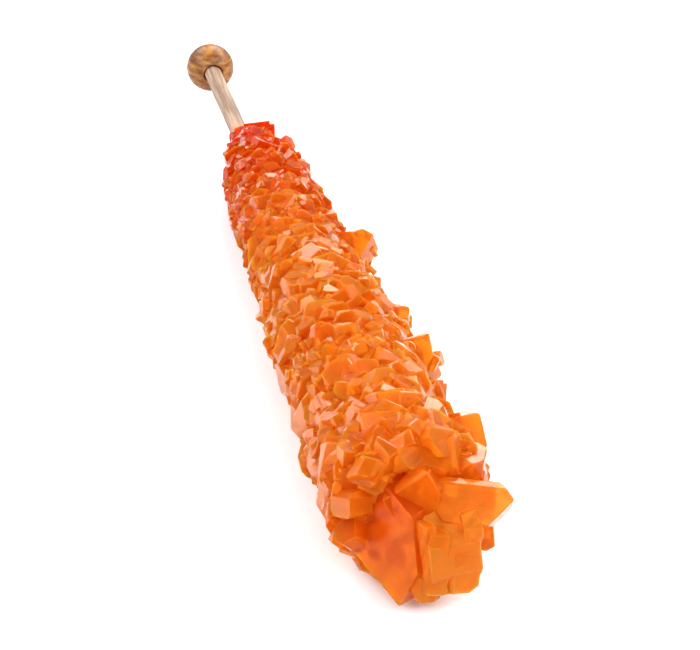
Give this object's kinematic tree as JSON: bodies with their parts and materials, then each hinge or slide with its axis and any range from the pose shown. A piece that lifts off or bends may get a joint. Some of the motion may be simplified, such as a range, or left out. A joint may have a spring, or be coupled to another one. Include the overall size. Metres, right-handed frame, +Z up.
{
  "type": "rock candy stick",
  "caption": "Orange rock candy grown as a tapering cluster of sugar crystals on a thin wooden stick with a ball end, lying on its side.",
  "frame": {"origin": "on the floor plane, under the middle of the whole piece as it lies", "axes": "+X along the piece from the ball end to the candy's blunt tip, +Z up from the floor, +Y across to the left of someone looking along +X"},
  "size_m": [0.1746, 0.0222, 0.0208],
  "materials": {
    "ball_wood": "turned golden-brown hardwood, lightly waxed",
    "stick_wood": "pale beige dowel, bare, grain along it",
    "orange_sugar": "translucent orange sugar crystals, shiny faces"
  },
  "bodies": {
    "root": {"ball": "ball_wood", "stick": "stick_wood", "rock_candy": "orange_sugar"}
  },
  "joints": []
}
